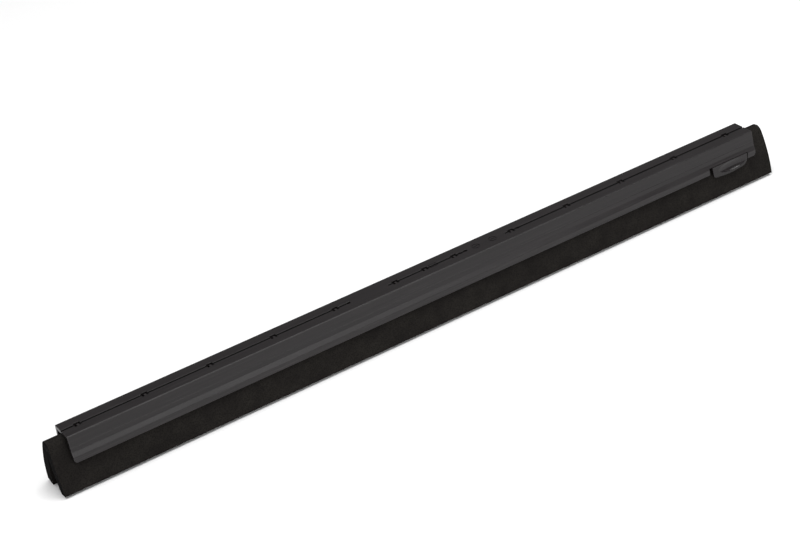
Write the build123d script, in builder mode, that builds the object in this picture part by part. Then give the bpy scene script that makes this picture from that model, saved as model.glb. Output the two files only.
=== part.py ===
"""A squeegee replacement cassette: a plastic channel that clamps a folded foam rubber double blade.

It stands on its two blade tips. X runs along the length, Y from front to back, Z up. The origin is at
the middle of the footprint, at the height of the tips. The front is -Y, where the release tab is.
All dimensions are in millimetres.
"""

import os
from math import cos, radians, sin

from build123d import *

# ---- driving dimensions -------------------------------------------------------------------------

BLADE_LENGTH = 605.0
CHANNEL_LENGTH = 580.0
HEIGHT = 41.5  # from the blade tips to the top plate

# channel section; each HALF is measured from the middle plane
PLATE_HALF = 10.0
PLATE_THICK = 2.4
WALL_THICK = 2.0
WALL_FOOT_HALF = 11.4
WALL_FOOT_Z = 29.6
LIP_HALF = 12.9
LIP_TOP_Z = 26.0
LIP_BOTTOM_Z = 21.5
LIP_CORNER_R = 3.0
LINE_Z = 33.0  # a fine V groove along each wall
LINE_DEPTH = 0.1
LINE_RISE = 0.4
TOOTH_Z = 22.4  # a tooth along the inside of each lip keeps the foam in
TOOTH_HALF = 10.15
TOOTH_LEAD = 0.5  # the tooth's slope on its lower side, and on its upper side
TOOTH_BACK = 1.0
TOP_CORNER_R = 0.8
WALL_FOOT_R = 1.0
LIP_TOP_R = 2.0
LIP_EDGE_R = 0.6
LIP_INNER_EDGE_R = 0.3
INSIDE_LIP_R = 0.8
INSIDE_PLATE_R = 0.6
INSIDE_FOOT_DROP = 0.6  # inside, the wall's foot and the lip's top are this much lower than outside
INSIDE_LIP_DROP = 0.8

# cut into the top plate, at X from the middle of the channel
WINDOW_PITCH = 50.0
WINDOW_MIDDLE_X = -3.0  # the row of windows sits a little left of the middle
WINDOWS_PER_SIDE = 6
POCKET = 4.6
POCKET_DEPTH = 1.6
HOLE = (3.4, 3.8)
HOLE_OFFSET = -0.4
GROOVE_WIDTH = 1.6
GROOVE_DEPTH = 1.6
PLAIN_LEFT = (-67.0, -34.0)  # the groove stops here, so it comes in three stretches
PLAIN_RIGHT = (32.0, 66.4)
SMALL_POCKETS_X = (-67.0, 27.3, 32.0, 77.7)
SMALL_POCKET = 2.4
DIALS_X = (41.0, 55.7)
DIAL_R = 3.1
PAD_X = 4.0
PAD_SIZE = (6.8, 4.2)
MARK_LINE = 0.6
MARK_DEPTH = 0.4
RIM_CHAMFER = 0.2

# release tab, hung in the front lip near the right end
TAB_LEFT = 248.2
TAB_RIGHT = 282.2
TAB_BOTTOM_Z = 17.1
TAB_SLOT = 3.0  # the gap to the lip on the tab's left
TAB_GAP = 0.4  # and on its right
HINGE_Y = -11.25
HINGE_Z = 27.0
KNUCKLE_R = 0.6
KNUCKLE_CLEARANCE = 0.06
NECK_DROP = 0.3  # the flap starts this far below the lip's cut edge
TAB_FACE = (12.75, 14.3)  # the flap's outer face is this far in front, at its neck and at its edge
TAB_BACK = (11.0, 12.65)  # and its inner face
HEEL_RISE = 1.2  # the heel, the belly's lowest point and its right end, from TAB_BOTTOM_Z
HEEL_R = 2.4
BELLY_AT = 0.45  # how far along the tab its belly is lowest
BELLY_DROP = 0.3
BELLY_R = 60.0
TOE_RISE = 1.4
TOE_R = 7.0
TOE_DRAFT = 0.4  # the right end leans in by this much
DISH_RIGHT = 1.3  # the thumb dish's middle is this far right of the flap's, and above it
DISH_UP = 2.0
DISH_LONG_R = 95.0  # its radius along the tab
DISH_SHORT_R = 8.5  # and up the tab
DISH_DEPTH = 0.8
DISH_RIM_R = 0.8
TAB_EDGE_R = 0.35

# foam rubber blade: one sheet folded over the clamp strip, its two legs splayed
APEX_Z = 38.8
APEX_R = 6.0
FLANK_LEAN = 21.3  # degrees from the vertical, where the flank leaves the fold's round
LEG_HALF = 15.0  # the outer corner of a leg's end
LEG_END_DROP = 2.0  # its inner corner is this much lower
LEG_END_WIDTH = 7.75
INNER_FACE_R = 170.0
CREASE_Z = 26.5  # above this the legs press together
CREASE_HALF = 0.3

# clamp strip inside the fold, with a snap peg in each window
STRIP_LENGTH = 568.0
STRIP_THICK = 2.0
STRIP_BOTTOM_Z = 25.0
STRIP_TOP_Z = 33.0
STRIP_CORNER_R = 2.0
STRIP_CLEARANCE = 0.1
PEG_X = 1.6
PEG_Y = 2.6
PEG_ROOT = 1.0  # how deep each peg is rooted in the strip
PEG_OFFSET = 0.45  # the pegs stand this far right of the windows' middles
BARB_REACH = 0.6
BARB_HEIGHT = 0.8
PEG_BORE_R = 2.0

# ---- worked out from them -----------------------------------------------------------------------

CHANNEL_END = CHANNEL_LENGTH / 2
PLATE_UNDER_Z = HEIGHT - PLATE_THICK
LIP_INNER = LIP_HALF - WALL_THICK
WINDOWS_X = [WINDOW_MIDDLE_X] + [
    WINDOW_MIDDLE_X + side * WINDOW_PITCH * (n + 0.5) for n in range(WINDOWS_PER_SIDE) for side in (-1, 1)
]
GROOVES = ((-CHANNEL_END, PLAIN_LEFT[0]), (PLAIN_LEFT[1], PLAIN_RIGHT[0]), (PLAIN_RIGHT[1], CHANNEL_END))

CUT_LEFT = TAB_LEFT - TAB_SLOT
CUT_WIDTH = TAB_SLOT + TAB_RIGHT - TAB_LEFT + TAB_GAP
CUT_FROM = TOOTH_HALF - TOOTH_LEAD  # the cut starts inside the tooth's tip and goes out to the front
TAB_WIDTH = TAB_RIGHT - TAB_LEFT
NECK_Z = HINGE_Z - NECK_DROP
DISH_X = (TAB_LEFT + TAB_RIGHT) / 2 + DISH_RIGHT
DISH_Z = (NECK_Z + TAB_BOTTOM_Z) / 2 + DISH_UP
DISH_FACE = TAB_FACE[1] + (TAB_FACE[0] - TAB_FACE[1]) * (DISH_Z - TAB_BOTTOM_Z) / (NECK_Z - TAB_BOTTOM_Z)

STRIP_MIDDLE_Z = (STRIP_BOTTOM_Z + STRIP_TOP_Z) / 2
BARB_Z = HEIGHT - POCKET_DEPTH  # the barbs rest on the pockets' floors


def wall_half(z):
    """Half width over the sloping walls at height z."""
    return PLATE_HALF + (WALL_FOOT_HALF - PLATE_HALF) * (HEIGHT - z) / (HEIGHT - WALL_FOOT_Z)


os.makedirs("parts", exist_ok=True)

# ---- cassette channel ---------------------------------------------------------------------------

# Half of the section: from the top plate's middle, round the outside, back along the inside.
# Each corner has its rounding radius.
channel_corners = [
    ((PLATE_HALF, HEIGHT), TOP_CORNER_R),
    ((wall_half(LINE_Z + LINE_RISE), LINE_Z + LINE_RISE), 0),
    ((wall_half(LINE_Z) - LINE_DEPTH, LINE_Z), 0),
    ((wall_half(LINE_Z - LINE_RISE), LINE_Z - LINE_RISE), 0),
    ((WALL_FOOT_HALF, WALL_FOOT_Z), WALL_FOOT_R),
    ((LIP_HALF, LIP_TOP_Z), LIP_TOP_R),
    ((LIP_HALF, LIP_BOTTOM_Z), LIP_EDGE_R),
    ((LIP_INNER, LIP_BOTTOM_Z), LIP_INNER_EDGE_R),
    ((LIP_INNER, TOOTH_Z - TOOTH_LEAD), 0),
    ((TOOTH_HALF, TOOTH_Z), 0),
    ((LIP_INNER, TOOTH_Z + TOOTH_BACK), 0),
    ((LIP_INNER, LIP_TOP_Z - INSIDE_LIP_DROP), INSIDE_LIP_R),
    ((WALL_FOOT_HALF - WALL_THICK, WALL_FOOT_Z - INSIDE_FOOT_DROP), INSIDE_LIP_R),
    ((PLATE_HALF - WALL_THICK, PLATE_UNDER_Z), INSIDE_PLATE_R),
]

with BuildPart() as cassette_channel:
    with BuildSketch(Plane.YZ):
        with BuildLine():
            half_section = FilletPolyline(
                (0, HEIGHT),
                *[point for point, radius in channel_corners],
                (0, PLATE_UNDER_Z),
                radius=[radius for point, radius in channel_corners],
            )
            Line(half_section @ 1, half_section @ 0)
        make_face()
        mirror(about=Plane.YZ)
    extrude(amount=CHANNEL_END, both=True)

    # at both ends the lips' lower corners are rounded off, and the top plate's edge is bevelled
    with BuildSketch(Plane.XZ) as channel_side:
        with Locations((0, (HEIGHT + LIP_BOTTOM_Z) / 2)):
            Rectangle(CHANNEL_LENGTH, HEIGHT - LIP_BOTTOM_Z)
        fillet(channel_side.vertices().group_by(Axis.Y)[0], LIP_CORNER_R)
        chamfer(channel_side.vertices().group_by(Axis.Y)[-1], RIM_CHAMFER)
    extrude(amount=LEG_HALF, both=True, mode=Mode.INTERSECT)

    # windows: a pocket for each peg's barb, with a hole through the plate in its floor
    with BuildSketch(Plane.XY.offset(HEIGHT)):
        with Locations([(x, 0) for x in WINDOWS_X]):
            Rectangle(POCKET, POCKET)
        with Locations([(x, 0) for x in SMALL_POCKETS_X]):
            Rectangle(SMALL_POCKET, SMALL_POCKET)
    extrude(amount=-POCKET_DEPTH, mode=Mode.SUBTRACT)
    with BuildSketch(Plane.XY.offset(HEIGHT)):
        with Locations([(x + HOLE_OFFSET, 0) for x in WINDOWS_X]):
            Rectangle(*HOLE)
    extrude(amount=-PLATE_THICK, mode=Mode.SUBTRACT)

    # the groove along the middle, open at both ends of the channel
    with BuildSketch(Plane.XY.offset(HEIGHT)):
        for start, end in GROOVES:
            with Locations(((start + end) / 2, 0)):
                Rectangle(end - start, GROOVE_WIDTH)
    extrude(amount=-GROOVE_DEPTH, mode=Mode.SUBTRACT)

    # a small bevel round the windows and along the groove
    top_edges = cassette_channel.faces().filter_by(Plane.XY).sort_by(Axis.Z)[-1].edges()
    chamfer(top_edges.filter_by(lambda edge: abs(edge.center().Y) < POCKET / 2 + RIM_CHAMFER), RIM_CHAMFER)

    # shallow moulding marks: two blank dials, and the outline of a small pad
    with BuildSketch(Plane.XY.offset(HEIGHT)):
        for x in DIALS_X:
            with Locations((x, 0)):
                Circle(DIAL_R)
                Circle(DIAL_R - MARK_LINE, mode=Mode.SUBTRACT)
                Rectangle(DIAL_R, MARK_LINE)
        with Locations((PAD_X, 0)):
            Rectangle(*PAD_SIZE)
            Rectangle(PAD_SIZE[0] - 2 * MARK_LINE, PAD_SIZE[1] - 2 * MARK_LINE, mode=Mode.SUBTRACT)
    extrude(amount=-MARK_DEPTH, mode=Mode.SUBTRACT)

    # the front lip is cut away for the tab, and the cut edge hollowed for its knuckle
    with BuildSketch(Plane.XZ.offset(CUT_FROM)):
        with Locations((CUT_LEFT, HINGE_Z)):
            Rectangle(CUT_WIDTH, HINGE_Z, align=(Align.MIN, Align.MAX))
    extrude(amount=LEG_HALF - CUT_FROM, mode=Mode.SUBTRACT)
    with BuildSketch(Plane.YZ.offset(CUT_LEFT)):
        with Locations((HINGE_Y, HINGE_Z)):
            Circle(KNUCKLE_R + KNUCKLE_CLEARANCE)
    extrude(amount=CUT_WIDTH, mode=Mode.SUBTRACT)

cassette_channel.part.label = "cassette_channel"
export_step(cassette_channel.part, "parts/cassette_channel.step")

# ---- release tab --------------------------------------------------------------------------------

with BuildPart() as release_tab:
    # a flap that leans outwards as it goes down, with its knuckle along the top
    with BuildSketch(Plane.YZ.offset(TAB_LEFT)):
        with BuildLine():
            Polyline(
                (-TAB_FACE[0], NECK_Z),
                (-TAB_FACE[1], TAB_BOTTOM_Z),
                (-TAB_BACK[1], TAB_BOTTOM_Z),
                (-TAB_BACK[0], NECK_Z),
                close=True,
            )
        make_face()
        with Locations((HINGE_Y, HINGE_Z)):
            Circle(KNUCKLE_R)
    extrude(amount=TAB_WIDTH)

    # from the front it is a D on its side: a small heel on the left, a long belly, a round right end
    with BuildSketch(Plane.XZ):
        with BuildLine():
            FilletPolyline(
                (TAB_LEFT, HEIGHT),
                (TAB_LEFT, TAB_BOTTOM_Z + HEEL_RISE),
                (TAB_LEFT + BELLY_AT * TAB_WIDTH, TAB_BOTTOM_Z - BELLY_DROP),
                (TAB_RIGHT - TOE_DRAFT, TAB_BOTTOM_Z + TOE_RISE),
                (TAB_RIGHT, HEIGHT),
                radius=(HEEL_R, BELLY_R, TOE_R),
            )
            Line((TAB_RIGHT, HEIGHT), (TAB_LEFT, HEIGHT))
        make_face()
    extrude(amount=HEIGHT, both=True, mode=Mode.INTERSECT)

    # its outer edge is rounded, all but along the neck
    outer_face = release_tab.faces().filter_by(GeomType.PLANE).sort_by(SortBy.AREA)[-2:].sort_by(Axis.Y)[0]
    fillet(outer_face.edges().sort_by(Axis.Z)[:-1], TAB_EDGE_R)

    # a shallow dish for the thumb in its outer face, wider than it is high
    with Locations((DISH_X, DISH_DEPTH - DISH_FACE - DISH_LONG_R, DISH_Z)):
        Torus(DISH_LONG_R - DISH_SHORT_R, DISH_SHORT_R, mode=Mode.SUBTRACT)
    fillet(release_tab.faces().filter_by(GeomType.TORUS).sort_by(SortBy.AREA)[-1].edges(), DISH_RIM_R)

release_tab.part.label = "release_tab"
export_step(release_tab.part, "parts/release_tab.step")

# ---- foam rubber blade --------------------------------------------------------------------------

flank_lean = radians(FLANK_LEAN)
flank_top = (APEX_R * cos(flank_lean), APEX_Z - APEX_R + APEX_R * sin(flank_lean))

with BuildPart() as rubber_blade:
    # half of the section: over the fold, down the flank, across the leg's end and up its inner face
    with BuildSketch(Plane.YZ):
        with BuildLine():
            fold = TangentArc((0, APEX_Z), flank_top, tangent=(1, 0))
            flank = TangentArc(fold @ 1, (LEG_HALF, LEG_END_DROP), tangent=fold % 1)
            leg_end = Line(flank @ 1, (LEG_HALF - LEG_END_WIDTH, 0))
            inner_face = RadiusArc(leg_end @ 1, (CREASE_HALF, CREASE_Z), -INNER_FACE_R)
            crease = Line(inner_face @ 1, (0, CREASE_Z))
            Line(crease @ 1, fold @ 0)
        make_face()
        mirror(about=Plane.YZ)
    extrude(amount=BLADE_LENGTH / 2, both=True)

    # the slot that the clamp strip fills, and the bores that its pegs pass through
    with BuildSketch(Plane.XZ):
        with Locations((0, STRIP_MIDDLE_Z)):
            Rectangle(
                STRIP_LENGTH + 2 * STRIP_CLEARANCE,
                STRIP_TOP_Z - STRIP_BOTTOM_Z + 2 * STRIP_CLEARANCE,
            )
    extrude(amount=STRIP_THICK / 2 + STRIP_CLEARANCE, both=True, mode=Mode.SUBTRACT)
    with BuildSketch(Plane.XY.offset(STRIP_TOP_Z - PEG_ROOT)):
        with Locations([(x, 0) for x in WINDOWS_X]):
            Circle(PEG_BORE_R)
    extrude(amount=APEX_Z, mode=Mode.SUBTRACT)

rubber_blade.part.label = "rubber_blade"
export_step(rubber_blade.part, "parts/rubber_blade.step")

# ---- clamp strip --------------------------------------------------------------------------------

# each peg is a flat stem with a barb on its right, sloped to lead it into the window
with BuildSketch(Plane.XZ) as peg_side:
    with BuildLine():
        Polyline(
            (-PEG_X / 2, STRIP_TOP_Z - PEG_ROOT),
            (-PEG_X / 2, BARB_Z + BARB_HEIGHT),
            (PEG_X / 2, BARB_Z + BARB_HEIGHT),
            (PEG_X / 2 + BARB_REACH, BARB_Z),
            (PEG_X / 2, BARB_Z),
            (PEG_X / 2, STRIP_TOP_Z - PEG_ROOT),
            close=True,
        )
    make_face()

with BuildPart() as clamp_strip:
    with BuildSketch(Plane.XZ):
        with Locations((0, STRIP_MIDDLE_Z)):
            RectangleRounded(STRIP_LENGTH, STRIP_TOP_Z - STRIP_BOTTOM_Z, STRIP_CORNER_R)
    extrude(amount=STRIP_THICK / 2, both=True)
    with BuildSketch(Plane.XZ):
        with Locations([(x + PEG_OFFSET, 0) for x in WINDOWS_X]):
            add(peg_side.sketch_local)
    extrude(amount=PEG_Y / 2, both=True)

clamp_strip.part.label = "clamp_strip"
export_step(clamp_strip.part, "parts/clamp_strip.step")
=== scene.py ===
# %% [markdown]
# # A squeegee replacement cassette
#
# The object is the refill of a professional squeegee: a black plastic channel, 580 mm long, that clamps
# a folded strip of black foam rubber. The strip's two legs are the two blades that push the water.
# The rigid parts come from a CAD model and stay exactly as they are. Blender gives them their finish,
# and remakes the foam, because foam is the one soft thing here and CAD can only say where it is.
#
# Everything is in metres, in the CAD model's own frame: X along the length, -Y to the front, Z up, and
# the floor at Z = 0, where the two blade tips stand.

# %% Load the frame
from math import atan2, ceil, copysign, cos, radians, sin

import bmesh
import bpy
from mathutils import Matrix, Vector, noise


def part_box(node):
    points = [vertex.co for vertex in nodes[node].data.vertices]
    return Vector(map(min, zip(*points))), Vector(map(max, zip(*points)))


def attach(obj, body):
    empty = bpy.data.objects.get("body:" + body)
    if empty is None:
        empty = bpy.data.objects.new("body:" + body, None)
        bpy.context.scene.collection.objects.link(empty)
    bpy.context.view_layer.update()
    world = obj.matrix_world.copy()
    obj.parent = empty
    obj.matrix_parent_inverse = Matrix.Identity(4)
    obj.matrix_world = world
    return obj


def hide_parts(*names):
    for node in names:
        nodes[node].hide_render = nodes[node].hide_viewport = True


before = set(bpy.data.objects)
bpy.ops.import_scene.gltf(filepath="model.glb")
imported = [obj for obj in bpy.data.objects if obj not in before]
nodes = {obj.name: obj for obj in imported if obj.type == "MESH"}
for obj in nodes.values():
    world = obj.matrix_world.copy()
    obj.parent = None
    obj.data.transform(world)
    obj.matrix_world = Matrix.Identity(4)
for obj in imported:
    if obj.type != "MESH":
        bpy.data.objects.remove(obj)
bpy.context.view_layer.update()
print("nodes", sorted(nodes))

MM = 0.001

# %% [markdown]
# ## The camera
#
# A product picture of something this long and thin is taken from a few metres away with a short
# telephoto lens, so that the near end doesn't swell. A camera is easiest to think of as an orbit: a
# point that it looks at, how far round and how high it stands, and its distance. The last number is
# its roll, which tips the picture so that the long object lies across the frame's diagonal.

# %% Camera on its orbit
LENS_MM = 94.0
CAMERA_AIM = Vector((-8.5, 26.7, 34.6)) * MM
CAMERA_DISTANCE = 1509.7 * MM
CAMERA_AZIMUTH = radians(-27.21)
CAMERA_ELEVATION = radians(29.64)
CAMERA_ROLL = radians(-9.63)


def place_camera():
    """A camera on an orbit round CAMERA_AIM, rolled about its own line of sight."""
    back = Vector(
        (
            sin(CAMERA_AZIMUTH) * cos(CAMERA_ELEVATION),
            -cos(CAMERA_AZIMUTH) * cos(CAMERA_ELEVATION),
            sin(CAMERA_ELEVATION),
        )
    )
    data = bpy.data.cameras.new("studio_camera")
    data.lens = LENS_MM
    data.sensor_width = 36
    data.clip_start = 0.05
    data.clip_end = 50
    camera = bpy.data.objects.new("studio_camera", data)
    bpy.context.scene.collection.objects.link(camera)
    level = (-back).to_track_quat("-Z", "Y").to_matrix()
    turned = level @ Matrix.Rotation(CAMERA_ROLL, 3, "Z")
    camera.matrix_world = Matrix.Translation(CAMERA_AIM + back * CAMERA_DISTANCE) @ turned.to_4x4()
    bpy.context.scene.camera = camera


place_camera()

# %% [markdown]
# ## Colours and nodes
#
# Colours are written as sRGB hex values, the way a paint chip or an image editor gives them. Blender's
# shaders work in linear light, so one function converts them. A second one adds a node, sets it up and
# links its inputs, which keeps each material short enough to read.

# %% Colour and node helpers


def linear(hex_colour):
    """An sRGB hex colour as the linear RGBA that Blender's shaders take."""
    channels = [int(hex_colour[i : i + 2], 16) / 255 for i in (1, 3, 5)]
    return [c / 12.92 if c <= 0.04045 else ((c + 0.055) / 1.055) ** 2.4 for c in channels] + [1.0]


def add_node(tree, kind, settings=None, **inputs):
    """Adds a node. settings are its properties. An input is a value, a socket or a node, and its name
    is the socket's with _ for a space, or _0, _1 and so on for its number."""
    node = tree.nodes.new(kind)
    for name, value in (settings or {}).items():
        setattr(node, name, value)
    for name, value in inputs.items():
        socket = node.inputs[int(name[1:]) if name[0] == "_" else name.replace("_", " ")]
        if isinstance(value, bpy.types.Node):
            value = value.outputs[0]
        if isinstance(value, bpy.types.NodeSocket):
            tree.links.new(value, socket)
        else:
            socket.default_value = value
    return node


def new_material(name):
    """An empty material, and the tree that it is built in."""
    material = bpy.data.materials.new(name)
    material.use_nodes = True
    tree = material.node_tree
    tree.nodes.clear()
    return material, tree


print("black plastic #1c1c1c is", [round(c, 4) for c in linear("#1c1c1c")[:3]], "in linear light")

# %% [markdown]
# ## Step 1: polypropylene for the channel, the tab and the strip
#
# These three are injection-moulded polypropylene, coloured black all through. It is a waxy plastic that
# never takes the hard gloss of ABS: its highlights are broad and soft. The melt runs along the mould
# from end to end and leaves very faint streaks that way. The mould was finished by spark erosion, which
# leaves a fine grain. Sliding in and out of a squeegee's frame draws hair-thin scuffs along it, most of
# all where the frame's hooks rub: on the outside of the lips and along the two top corners. The extra
# scuffs there also serve as a painted highlight on those edges. At the two ends, where the channel is
# cut to length, a paler rim is painted as a highlight along the edges. The groove along the top plate
# is painted darker as shade. The typical index of refraction is 1.49;
# the specular level is under its usual 0.5, because a waxy, grained skin scatters part of the light.
#
# Their shapes are right in the CAD model, so they stay. Only their finish is made here, from noise on
# Object coordinates: a pattern's scale is then in real millimetres, and needs no unwrapping. A Mapping
# node stretches a noise along X, which turns its blobs into streaks.

# %% Sizes of the polypropylene's marks
channel_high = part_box("cassette_channel")[1]
STREAK_SIZE = (120.0 * MM, 1.5 * MM, 1.5 * MM)
SCUFF_SIZE = (40.0 * MM, 0.35 * MM, 0.35 * MM)
GRAIN = 0.3 * MM
HANDLING = 35.0 * MM
GROOVE_HALF = 0.8 * MM
# the depth of the wear and its painted highlight, in from the outermost point of a lip: where it starts,
# and where it is full
LIP_WEAR_HIGHLIGHT_FROM = 0.4 * MM
LIP_WEAR_HIGHLIGHT_FULL = 0.05 * MM
# the top corner is worn and painted with a highlight in full this far out from the middle, and both fade
# over half a millimetre
CORNER_WEAR_HIGHLIGHT_OUT = 9.5 * MM
CORNER_WEAR_HIGHLIGHT_FADE = 0.5 * MM
# the painted shade keeps to the groove's own width, and starts a little below the top plate
GROOVE_SHADE_FADE = 0.1 * MM
GROOVE_SHADE_FROM = 0.3 * MM
GROOVE_SHADE_FULL = 0.6 * MM
# the highlight painted as a paler rim, in from the cut end
CUT_RIM_HIGHLIGHT_FROM = 0.5 * MM
CUT_RIM_HIGHLIGHT_FULL = 0.2 * MM
print("channel ends at", round(channel_high.x / MM, 1), "mm, its lips at", round(channel_high.y / MM, 1))

# %% Where the squeegee's frame rubs and a highlight is painted on the edges, where shade is painted in the groove, and where a highlight is painted at the cut ends


def wear_and_highlight_mask(tree, across, up):
    """1 on the outermost face of both lips and along the two top corners, and 0 elsewhere. More scuffs are
    laid on there, partly as wear and partly as a painted highlight on those edges.
    """
    on_lips = add_node(
        tree,
        "ShaderNodeMapRange",
        Value=across,
        From_Min=channel_high.y - LIP_WEAR_HIGHLIGHT_FROM,
        From_Max=channel_high.y - LIP_WEAR_HIGHLIGHT_FULL,
    )
    # the sum of both distances peaks where the top plate turns down into the wall
    outwards = add_node(tree, "ShaderNodeMath", {"operation": "ADD"}, _0=across, _1=up)
    corner = channel_high.z + CORNER_WEAR_HIGHLIGHT_OUT
    on_corners = add_node(
        tree,
        "ShaderNodeMapRange",
        Value=outwards,
        From_Min=corner - CORNER_WEAR_HIGHLIGHT_FADE,
        From_Max=corner,
    )
    return add_node(tree, "ShaderNodeMath", {"operation": "MAXIMUM"}, _0=on_lips, _1=on_corners)


def groove_shade_mask(tree, across, up):
    """1 inside the groove along the middle of the top plate, where shade is painted in, and 0 elsewhere.
    """
    narrow = add_node(
        tree,
        "ShaderNodeMapRange",
        Value=across,
        From_Min=GROOVE_HALF,
        From_Max=GROOVE_HALF + GROOVE_SHADE_FADE,
        To_Min=1.0,
        To_Max=0.0,
    )
    below_rim = add_node(
        tree,
        "ShaderNodeMapRange",
        Value=up,
        From_Min=channel_high.z - GROOVE_SHADE_FULL,
        From_Max=channel_high.z - GROOVE_SHADE_FROM,
        To_Min=1.0,
        To_Max=0.0,
    )
    return add_node(tree, "ShaderNodeMath", {"operation": "MULTIPLY"}, _0=narrow, _1=below_rim)


def cut_rim_highlight_mask(tree, along):
    """1 in the last fifth of a millimetre at each end of the channel, where a highlight is painted along
    the rim, fading to 0 further in.
    """
    return add_node(
        tree,
        "ShaderNodeMapRange",
        Value=along,
        From_Min=channel_high.x - CUT_RIM_HIGHLIGHT_FROM,
        From_Max=channel_high.x - CUT_RIM_HIGHLIGHT_FULL,
    )


# %% Polypropylene
# a scuff shows where the fine noise rises above its crest, and is never fully opaque
SCUFF_CREST = 0.66
SCUFF_FULL = 0.74
SCUFF_OPACITY = 0.6
# how much a scuff, and the groove with its painted shade, add to the roughness
SCUFF_DULLS = 0.15
GROOVE_DULLS = 0.4
STREAK_DEPTH = 0.02 * MM
GRAIN_DEPTH = 0.01 * MM


def moulded_polypropylene(name, glossiest, dullest, wear_and_highlight_amount, groove_shade_colour):
    """Black polypropylene from a spark-eroded mould: deep black, with soft broad highlights.
    Its roughness wanders between glossiest and dullest. wear_and_highlight_amount is how many more
    scuffs there are where the frame rubs, from 0: partly wear, and partly a highlight painted along
    the lips and top corners. groove_shade_colour is painted into the groove as shade."""
    material, tree = new_material(name)
    place = add_node(tree, "ShaderNodeTexCoord").outputs["Object"]
    along = add_node(tree, "ShaderNodeMapping", Vector=place, Scale=[1 / size for size in STREAK_SIZE])
    streaks = add_node(tree, "ShaderNodeTexNoise", Vector=along, Scale=1.0, Detail=4.0)
    drawn = add_node(tree, "ShaderNodeMapping", Vector=place, Scale=[1 / size for size in SCUFF_SIZE])
    scuff_noise = add_node(tree, "ShaderNodeTexNoise", Vector=drawn, Scale=1.0, Detail=1.0)
    grain = add_node(tree, "ShaderNodeTexNoise", Vector=place, Scale=1 / GRAIN, Detail=2.0)
    handling = add_node(tree, "ShaderNodeTexNoise", Vector=place, Scale=1 / HANDLING, Detail=3.0)
    axes = add_node(tree, "ShaderNodeSeparateXYZ", Vector=place)
    from_middle = add_node(tree, "ShaderNodeMath", {"operation": "ABSOLUTE"}, _0=axes.outputs["X"])
    across = add_node(tree, "ShaderNodeMath", {"operation": "ABSOLUTE"}, _0=axes.outputs["Y"])

    # the black itself is a little uneven along the flow
    streak_tone = add_node(tree, "ShaderNodeMapRange", Value=streaks, From_Min=0.3, From_Max=0.7)
    black = add_node(
        tree,
        "ShaderNodeMix",
        {"data_type": "RGBA"},
        _0=streak_tone,
        _6=linear("#141112"),
        _7=linear("#1b1718"),
    )
    # only the crests of the fine noise are scuffs; where the frame rubs, more of it counts, which also
    # paints a highlight along the lips and top corners
    wear_and_highlight = wear_and_highlight_mask(tree, across, axes.outputs["Z"])
    reach = add_node(
        tree, "ShaderNodeMath", {"operation": "MULTIPLY_ADD"}, _0=wear_and_highlight, _1=wear_and_highlight_amount, _2=scuff_noise
    )
    scuffs = add_node(
        tree,
        "ShaderNodeMapRange",
        Value=reach,
        From_Min=SCUFF_CREST,
        From_Max=SCUFF_FULL,
        To_Max=SCUFF_OPACITY,
    )
    scuffed_and_highlighted = add_node(
        tree,
        "ShaderNodeMix",
        {"data_type": "RGBA"},
        _0=scuffs,
        _6=black.outputs[2],
        _7=linear("#2e2b2c"),
    )
    # both ends get a paler rim: a highlight painted along the end edges
    rim_highlighted = add_node(
        tree,
        "ShaderNodeMix",
        {"data_type": "RGBA"},
        _0=cut_rim_highlight_mask(tree, from_middle),
        _6=scuffed_and_highlighted.outputs[2],
        _7=linear("#2a2728"),
    )
    # the groove is painted darker as shade, and nothing rubs or polishes it, so it is also duller
    groove_shade = groove_shade_mask(tree, across, axes.outputs["Z"])
    colour = add_node(
        tree,
        "ShaderNodeMix",
        {"data_type": "RGBA"},
        _0=groove_shade,
        _6=rim_highlighted.outputs[2],
        _7=linear(groove_shade_colour),
    )
    # handling polishes some patches more than others, and a scuff is duller than either
    polish = add_node(
        tree,
        "ShaderNodeMapRange",
        Value=handling,
        From_Min=0.3,
        From_Max=0.7,
        To_Min=glossiest,
        To_Max=dullest,
    )
    scuffed_gloss = add_node(
        tree, "ShaderNodeMath", {"operation": "MULTIPLY_ADD"}, _0=scuffs, _1=SCUFF_DULLS, _2=polish
    )
    roughness = add_node(
        tree,
        "ShaderNodeMath",
        {"operation": "MULTIPLY_ADD"},
        _0=groove_shade,
        _1=GROOVE_DULLS,
        _2=scuffed_gloss,
    )
    streak_bump = add_node(
        tree, "ShaderNodeBump", Strength=0.2, Distance=STREAK_DEPTH, Height=streaks
    )
    grain_bump = add_node(
        tree,
        "ShaderNodeBump",
        Strength=0.3,
        Distance=GRAIN_DEPTH,
        Height=grain,
        Normal=streak_bump,
    )
    surface = add_node(
        tree,
        "ShaderNodeBsdfPrincipled",
        Base_Color=colour.outputs[2],
        Roughness=roughness,
        IOR=1.49,
        Specular_IOR_Level=0.35,
        Normal=grain_bump,
    )
    add_node(tree, "ShaderNodeOutputMaterial", Surface=surface)
    return material


# the shade painted into the channel's groove, and the plain black that leaves a groove unshaded
GROOVE_PAINTED_SHADE = "#040404"
UNSHADED_BLACK = "#1b1718"
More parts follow.
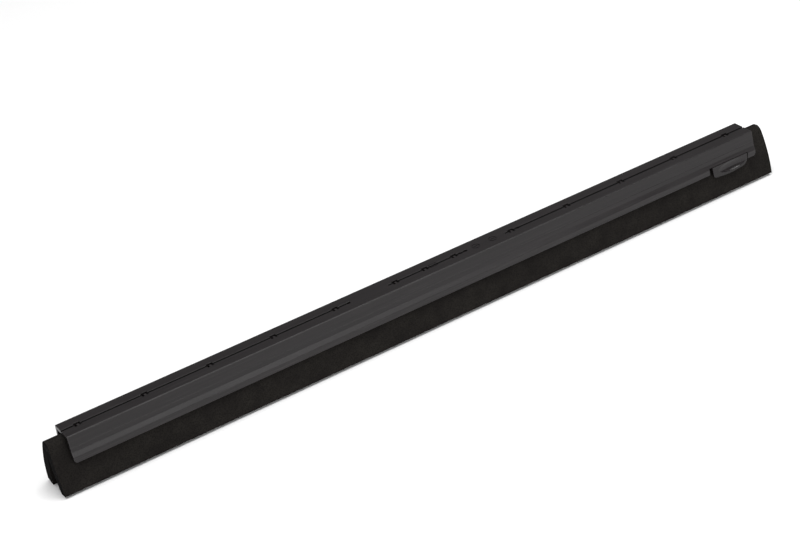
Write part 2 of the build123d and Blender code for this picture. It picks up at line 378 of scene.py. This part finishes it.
# the foam covers the strip, so it has no scuffs; only the channel's groove is painted darker as shade, and
# thumbs have polished the tab
finishes = {
    "cassette_channel": moulded_polypropylene(
        "moulded_polypropylene_black",
        glossiest=0.28,
        dullest=0.37,
        wear_and_highlight_amount=0.12,
        groove_shade_colour=GROOVE_PAINTED_SHADE,
    ),
    "clamp_strip": moulded_polypropylene(
        "plain_polypropylene_black",
        glossiest=0.28,
        dullest=0.37,
        wear_and_highlight_amount=0.0,
        groove_shade_colour=UNSHADED_BLACK,
    ),
    "release_tab": moulded_polypropylene(
        "thumb_polished_polypropylene_black",
        glossiest=0.18,
        dullest=0.24,
        wear_and_highlight_amount=0.0,
        groove_shade_colour=UNSHADED_BLACK,
    ),
}
for name, finish in finishes.items():
    for material_slot in nodes[name].material_slots:
        material_slot.material = finish
    print(name, "is", finish.name)

# %% [markdown]
# ## Step 2: the outline of the foam rubber blade
#
# The blade is one sheet of cellular rubber, 8 mm thick and folded over the clamp strip, so that its two
# legs splay. Each leg bows outwards a little, the way a folded sheet does. It is drawn as half of the
# section, one arc after another: `spin` carries a single vertex round each arc's centre. The fold's
# round comes first, then the long flank, which leaves it without a corner, then the cut end of the leg,
# and the inner face back up to the slot. `mirror` makes the other half.

# %% Half of the section, by spinning one vertex
blade_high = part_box("rubber_blade")[1]
BLADE_END = blade_high.x
APEX_Z = blade_high.z
APEX_R = 6.0 * MM
FLANK_LEAN = radians(21.3)
LEG_END_WIDTH = 7.75 * MM
LEG_CORNER = Vector((0, blade_high.y, 2.0 * MM))
LEG_INNER = Vector((0, blade_high.y - LEG_END_WIDTH, 0))
SLOT_HALF = 1.1 * MM
SLOT_TOP = 33.1 * MM
SLOT_FOOT_Z = 23.7 * MM
CREASE_HALF = 0.3 * MM
CREASE_Z = 26.5 * MM
BORE_HALF = 1.6 * MM
INNER_FACE_R = 170.0 * MM
# how many straight pieces stand for each arc
FOLD_STEPS = 8
FLANK_STEPS = 12
INNER_FACE_STEPS = 10


def arc_centre(start, end, radius, bulge):
    """The centre of the arc from start to end, whose bulge points towards the vector bulge."""
    chord = end - start
    across = Vector((0, -chord.z, chord.y)).normalized()
    if across.dot(bulge) > 0:
        across.negate()
    return (start + end) / 2 + across * (radius**2 - chord.length_squared / 4) ** 0.5


def carry(bm, vert, centre, end, steps):
    """Spins a vertex about centre in the YZ plane until it points at end, and returns the last one."""
    start_arm = vert.co - centre
    end_arm = end - centre
    angle = atan2(
        start_arm.y * end_arm.z - start_arm.z * end_arm.y,
        start_arm.y * end_arm.y + start_arm.z * end_arm.z,
    )
    spun = bmesh.ops.spin(
        bm, geom=[vert], cent=centre, axis=(1, 0, 0), dvec=(0, 0, 0), angle=angle, steps=steps
    )
    return [item for item in spun["geom_last"] if isinstance(item, bmesh.types.BMVert)][0]


blade = bmesh.new()
fold_centre = Vector((0, 0, APEX_Z - APEX_R))
fold_end = fold_centre + Vector((0, cos(FLANK_LEAN), sin(FLANK_LEAN))) * APEX_R
bore_edge = Vector((0, BORE_HALF, fold_centre.z + (APEX_R**2 - BORE_HALF**2) ** 0.5))

outward = (fold_end - fold_centre).normalized()
flank_chord = LEG_CORNER - fold_end
flank_r = flank_chord.length_squared / (-2 * flank_chord.dot(outward))
flank_centre = fold_end - outward * flank_r

apex = blade.verts.new((0, 0, APEX_Z))
at_bore = carry(blade, apex, fold_centre, bore_edge, 1)
at_flank = carry(blade, at_bore, fold_centre, fold_end, FOLD_STEPS)
at_corner = carry(blade, at_flank, flank_centre, LEG_CORNER, FLANK_STEPS)
at_inner = blade.verts.new(LEG_INNER)
blade.edges.new((at_corner, at_inner))
slot_foot = Vector((0, SLOT_HALF, SLOT_FOOT_Z))
inner_centre = arc_centre(LEG_INNER, slot_foot, INNER_FACE_R, Vector((0, 1, 0)))
at_foot = carry(blade, at_inner, inner_centre, slot_foot, INNER_FACE_STEPS)
at_shoulder = blade.verts.new((0, CREASE_HALF, CREASE_Z))
at_crease = blade.verts.new((0, 0, CREASE_Z))
blade.edges.new((at_foot, at_shoulder))
blade.edges.new((at_shoulder, at_crease))
print("half outline", len(blade.verts), "vertices, flank radius", round(flank_r / MM, 1), "mm")

# %% [markdown]
# ## Step 3: draw the section out to its full length
#
# The real sheet is cast or extruded in one long run, then slit and cut to length. Here the closed
# outline is extruded from station to station along X. A plain extrusion needs only two stations, but
# three things need more: the slot stops short of both ends, each peg of the clamp strip passes through
# a bore, and a soft sheet never runs quite straight.

# %% Stations along the blade
SLOT_END = 284.1 * MM
SLOT_RUN_OUT = 0.5 * MM
# a window a little left of the middle, and six on each side of it; the first ones are half a pitch away
MIDDLE_WINDOW_MM = -3.0
WINDOW_PITCH_MM = 50
WINDOWS = [MIDDLE_WINDOW_MM * MM] + [
    (MIDDLE_WINDOW_MM + side * (WINDOW_PITCH_MM / 2 + WINDOW_PITCH_MM * n)) * MM
    for n in range(6)
    for side in (-1, 1)
]
STATION_STEP = 5.0 * MM

marks = [-BLADE_END, BLADE_END]
for side in (-1, 1):
    marks += [side * SLOT_END, side * (SLOT_END + SLOT_RUN_OUT)]
    marks += [x + side * BORE_HALF for x in WINDOWS]
marks.sort()
stations = [marks[0]]
for mark in marks[1:]:
    gap = mark - stations[-1]
    # a hair less, so that rounding can't give a whole number of steps one more
    steps = ceil(gap / STATION_STEP - 0.001)
    stations += [mark - gap * (steps - n) / steps for n in range(1, steps + 1)]
print(len(stations), "stations,", len(WINDOWS), "peg bores")

# %% Mirror the outline and extrude it
# two points closer than this are one
TOUCH = 0.01 * MM
half = blade.verts[:] + blade.edges[:]
bmesh.ops.mirror(blade, geom=half, axis="Y", merge_dist=TOUCH)
for vert in blade.verts:
    vert.co.x = stations[0]
first_ring = blade.edges[:]
ring = first_ring
for here, there in zip(stations, stations[1:]):
    drawn = bmesh.ops.extrude_edge_only(blade, edges=ring)["geom"]
    moved = {item for item in drawn if isinstance(item, bmesh.types.BMVert)}
    bmesh.ops.translate(blade, verts=list(moved), vec=(there - here, 0, 0))
    edges = {edge for vert in moved for edge in vert.link_edges}
    ring = [edge for edge in edges if moved.issuperset(edge.verts)]
print("tube of", len(blade.faces), "faces")

# %% [markdown]
# ## Step 4: the slot, the peg bores and the cut ends
#
# Between the ends of the slot, the top of the V is lifted round the strip. At each window the slot's
# ceiling and the fold above it are opened and bridged, which makes the bore: a punch makes it in the
# real sheet. The two ends are then closed with a face each.

# %% Slot, bores and ends
# how far past its true place a vertex is still looked for
MARGIN = 0.1 * MM

for vert in blade.verts:
    in_crease = abs(vert.co.y) < CREASE_HALF + MARGIN and vert.co.z < CREASE_Z + MARGIN
    if in_crease and abs(vert.co.x) < SLOT_END + MARGIN:
        at_peg = any(abs(vert.co.x - x) < BORE_HALF + MARGIN for x in WINDOWS)
        width = BORE_HALF if at_peg else SLOT_HALF
        vert.co.z = SLOT_TOP
        vert.co.y = copysign(width, vert.co.y) if abs(vert.co.y) > MARGIN else 0.0


def over_window(face, x):
    """Whether a face lies over the window at x, on the fold or on the slot's ceiling."""
    middle = face.calc_center_median()
    near = abs(middle.x - x) < BORE_HALF and abs(middle.y) < BORE_HALF
    return near and middle.z > SLOT_TOP - MARGIN


for x in WINDOWS:
    lids = [face for face in blade.faces if over_window(face, x)]
    rims = {edge for face in lids for edge in face.edges}
    bmesh.ops.delete(blade, geom=lids, context="FACES_ONLY")
    open_rims = [edge for edge in rims if edge.is_valid and len(edge.link_faces) == 1]
    loose = [edge for edge in rims if edge.is_valid and not edge.link_faces]
    bmesh.ops.delete(blade, geom=loose, context="EDGES")
    bmesh.ops.bridge_loops(blade, edges=open_rims)
for cut_ring in (first_ring, ring):
    bmesh.ops.contextual_create(blade, geom=cut_ring)
print("open edges before the bevels:", sum(1 for edge in blade.edges if len(edge.link_faces) != 2))

# %% [markdown]
# ## Step 5: softened corners and a slightly wavy edge
#
# A knife leaves foam with crisp corners, but never knife-sharp ones: the cells at the corner collapse.
# So the working corners of both legs, and the rims of the cut ends, the bores and the slot's ends, get a
# small round. Then the legs are pushed sideways by up to a quarter of a millimetre, more towards their
# free edges, because nothing holds a blade straight there. The two cut ends bow out by under a
# millimetre: foam is squeezed under the guillotine's blade, and springs back furthest half way up. A
# flat face can't bow, so level cuts divide it into strips first, and only after the bevels, which would
# trip over the new corners.
#
# A face attribute named "cut" marks where a knife has been: the two ends of the length, and the ends
# of both legs. The foam's material will read it.
#
# This step has a known fault, which the cell below counts. Mirrored faces wind the other way round, and
# a bevel across the line where two windings meet leaves a slit. Recalculating the normals before the
# bevels cures it. Here it is only done after them, which is too late: some faces still point inwards.

# %% Corners
CORNER_R = 0.3 * MM
# a face across the length has a normal with more than this along it
ACROSS = 0.9


def is_working_corner(edge):
    """Whether an edge runs along one of the four corners of the leg ends."""
    corners = (LEG_CORNER, LEG_INNER)
    first, second = (Vector((0, abs(vert.co.y), vert.co.z)) for vert in edge.verts)
    return any((first - c).length < TOUCH and (second - c).length < TOUCH for c in corners)


def is_cap_rim(edge):
    """Whether an edge has a wall across the length on one side only: a cut end, a bore or a slot's end."""
    return sum(abs(face.normal.x) > ACROSS for face in edge.link_faces) == 1


# the long corners first, then the rims, so that no three rounded edges meet
for is_soft in (is_working_corner, is_cap_rim):
    for face in blade.faces:
        face.normal_update()
    bmesh.ops.bevel(
        blade,
        geom=[edge for edge in blade.edges if is_soft(edge)],
        offset=CORNER_R,
        offset_type="OFFSET",
        affect="EDGES",
        segments=2,
        profile=0.5,
        material=-1,
    )

slit_edges = sum(1 for edge in blade.edges if len(edge.link_faces) != 2)
print("after the bevels:", len(blade.faces), "faces, open edges:", slit_edges)

# %% Strips across the two ends, and the mark of the knife
END_STRIPS = 12


def on_end(face):
    """Whether a face is part of the cut end of the length."""
    return all(abs(vert.co.x) > BLADE_END - TOUCH for vert in face.verts)


for n in range(1, END_STRIPS):
    ends = [face for face in blade.faces if on_end(face)]
    geometry = {item for face in ends for item in (face, *face.edges, *face.verts)}
    height = (0, 0, APEX_Z * n / END_STRIPS)
    bmesh.ops.bisect_plane(blade, geom=list(geometry), plane_co=height, plane_no=(0, 0, 1))
cut_layer = blade.faces.layers.float.new("cut")
for face in blade.faces:
    on_leg_end = all(vert.co.z < LEG_CORNER.z + TOUCH for vert in face.verts)
    face[cut_layer] = 1.0 if on_leg_end or on_end(face) else 0.0
print("strips in the two ends:", sum(1 for face in blade.faces if on_end(face)))

# %% Waves, and the bow of the two ends
WAVE = 0.25 * MM
WAVE_LONG = 70.0 * MM
STIFF_Z = 22.0 * MM
BOW = 0.8 * MM
# the two legs read the noise this far either side of 0, so that they don't wave together
LEG_NOISE_PLACE = 5.0
# a bend sharper than this stays a crease in the shading
SHARP_ANGLE = radians(50)

for vert in blade.verts:
    vert.co.z = max(vert.co.z, 0.0)
    freedom = max(0.0, 1 - vert.co.z / STIFF_Z) ** 2
    leg = copysign(LEG_NOISE_PLACE, vert.co.y)
    vert.co.y += WAVE * freedom * noise.noise(Vector((vert.co.x / WAVE_LONG, leg, 0)))
    past_slot = max(0.0, abs(vert.co.x) - SLOT_END) / (BLADE_END - SLOT_END)
    height = (vert.co.z - APEX_Z / 2) / (APEX_Z / 2)
    vert.co.x += copysign(BOW * past_slot * (1 - height**2), vert.co.x)
bmesh.ops.recalc_face_normals(blade, faces=blade.faces)
for face in blade.faces:
    face.smooth = True
mesh = bpy.data.meshes.new("foam_blade")
blade.to_mesh(mesh)
blade.free()
mesh.set_sharp_from_angle(angle=SHARP_ANGLE)
foam_blade = bpy.data.objects.new("foam_blade", mesh)
bpy.context.scene.collection.objects.link(foam_blade)
# the large faces keep their own shading, and only the small rounds are shaded from one to the next
by_area = foam_blade.modifiers.new("weighted_normals", "WEIGHTED_NORMAL")
by_area.keep_sharp = True
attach(foam_blade, "cassette")
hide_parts("rubber_blade")
cut_faces = sum(item.value > 0.5 for item in mesh.attributes["cut"].data)
size_mm = [round(v / MM, 1) for v in foam_blade.dimensions]
print("foam blade", len(mesh.polygons), "faces,", cut_faces, "of them cut, size", size_mm)

# %% [markdown]
# ## Step 6: cellular rubber for the blade
#
# The foam is chloroprene rubber, blown with gas and cured as a slab. Its faces have a thin skin, dull
# and almost black, that the cells behind it dimple; the middle of each dimple is painted darker as shade.
# Where a knife has cut it, at the legs' ends and at both ends of the length, the cells are open, and the
# shade inside them is painted in, so a cut face is painted near-black. Real cells
# are about 0.3 mm; the dimples are drawn at 0.9 mm, so that they can be seen from a metre.

# %% Cellular rubber
CELL = 0.9 * MM
CELL_DEPTH = 0.12 * MM
MOTTLE = 14.0 * MM


def cellular_rubber():
    """Black chloroprene foam: a dull dimpled skin with shade painted in each dimple, and open cells where
    it is cut, painted near-black as shade.
    """
    material, tree = new_material("cellular_rubber_black")
    place = add_node(tree, "ShaderNodeTexCoord").outputs["Object"]
    cut = add_node(tree, "ShaderNodeAttribute", {"attribute_name": "cut"})
    cells = add_node(tree, "ShaderNodeTexVoronoi", Vector=place, Scale=1 / CELL)
    mottle = add_node(tree, "ShaderNodeTexNoise", Vector=place, Scale=1 / MOTTLE, Detail=5.0)
    mottle_tone = add_node(tree, "ShaderNodeMapRange", Value=mottle, From_Min=0.35, From_Max=0.65)
    skin = add_node(
        tree,
        "ShaderNodeMix",
        {"data_type": "RGBA"},
        _0=mottle_tone,
        _6=linear("#1d1b1a"),
        _7=linear("#242220"),
    )
    # the middle of a cell is a dimple in the skin, or a hole in a cut face, and shade is painted in both
    # as a darker colour
    wall = add_node(tree, "ShaderNodeMapRange", Value=cells, From_Min=0.15, From_Max=0.55)
    shaded_dimples = add_node(
        tree,
        "ShaderNodeMix",
        {"data_type": "RGBA"},
        _0=wall,
        _6=linear("#131211"),
        _7=skin.outputs[2],
    )
    # a cut face is painted near-black as the shade inside its open cells
    shaded_open_cells = add_node(
        tree,
        "ShaderNodeMix",
        {"data_type": "RGBA"},
        _0=wall,
        _6=linear("#030303"),
        _7=linear("#0b0a0a"),
    )
    colour = add_node(
        tree,
        "ShaderNodeMix",
        {"data_type": "RGBA"},
        _0=cut.outputs["Fac"],
        _6=shaded_dimples.outputs[2],
        _7=shaded_open_cells.outputs[2],
    )
    bump = add_node(tree, "ShaderNodeBump", Strength=0.5, Distance=CELL_DEPTH, Height=cells)
    surface = add_node(
        tree,
        "ShaderNodeBsdfPrincipled",
        Base_Color=colour.outputs[2],
        Roughness=0.85,
        Specular_IOR_Level=0.02,
        Normal=bump,
    )
    add_node(tree, "ShaderNodeOutputMaterial", Surface=surface)
    return material


foam_blade.data.materials.append(cellular_rubber())
print("foam blade is", foam_blade.data.materials[0].name)

# %% [markdown]
# ## Step 7: the studio
#
# Black plastic shows almost nothing of its own colour: what is seen on it is the room's reflection. The
# floor is white and lit evenly by one large softbox overhead, and the channel's walls mirror that floor.
# The air behind is a dim grey, which the flat top plate mirrors, so that it comes out darker than the
# walls. A second, smaller softbox stands in front, a little to the right, where the bead above the lips
# faces it. A third, smaller still, stands further to the right and higher, where the thumb dish faces it.

# %% Floor and lights
WORLD_STRENGTH = 0.27
FLOOR_HALF = 6


def softbox(name, place, aim, width, height, power):
    """A rectangular area light at place, turned to aim. Its power is in watts."""
    data = bpy.data.lights.new(name, "AREA")
    data.shape = "RECTANGLE"
    data.size = width
    data.size_y = height
    data.energy = power
    light = bpy.data.objects.new(name, data)
    light.location = place
    light.rotation_euler = (Vector(aim) - Vector(place)).to_track_quat("-Z", "Y").to_euler()
    bpy.context.scene.collection.objects.link(light)


def studio():
    """The world's dim light, three softboxes and the floor."""
    scene = bpy.context.scene
    scene.view_settings.view_transform = "Standard"
    world = bpy.data.worlds.new("studio_world")
    scene.world = world
    world.use_nodes = True
    background = world.node_tree.nodes["Background"]
    background.inputs["Color"].default_value = (1, 1, 1, 1)
    background.inputs["Strength"].default_value = WORLD_STRENGTH
    softbox("overhead_softbox", (0, -0.2, 2.2), (0, 0, 0), width=2.6, height=2.2, power=67)
    softbox("front_softbox", (0.22, -1.35, 0.52), (0, 0, 0.03), width=0.9, height=0.4, power=5.8)
    softbox("side_softbox", (1.02, -1.3, 0.8), (0.26, 0, 0.03), width=0.3, height=0.3, power=3.0)

    bm = bmesh.new()
    bmesh.ops.create_grid(bm, x_segments=1, y_segments=1, size=FLOOR_HALF)
    floor_mesh = bpy.data.meshes.new("floor")
    bm.to_mesh(floor_mesh)
    bm.free()
    floor = bpy.data.objects.new("floor", floor_mesh)
    scene.collection.objects.link(floor)
    # a roll of matt white background paper
    material, tree = new_material("white_background_paper")
    surface = add_node(tree, "ShaderNodeBsdfPrincipled", Base_Color=linear("#f4f4f4"), Roughness=0.9)
    add_node(tree, "ShaderNodeOutputMaterial", Surface=surface)
    floor_mesh.materials.append(material)


studio()
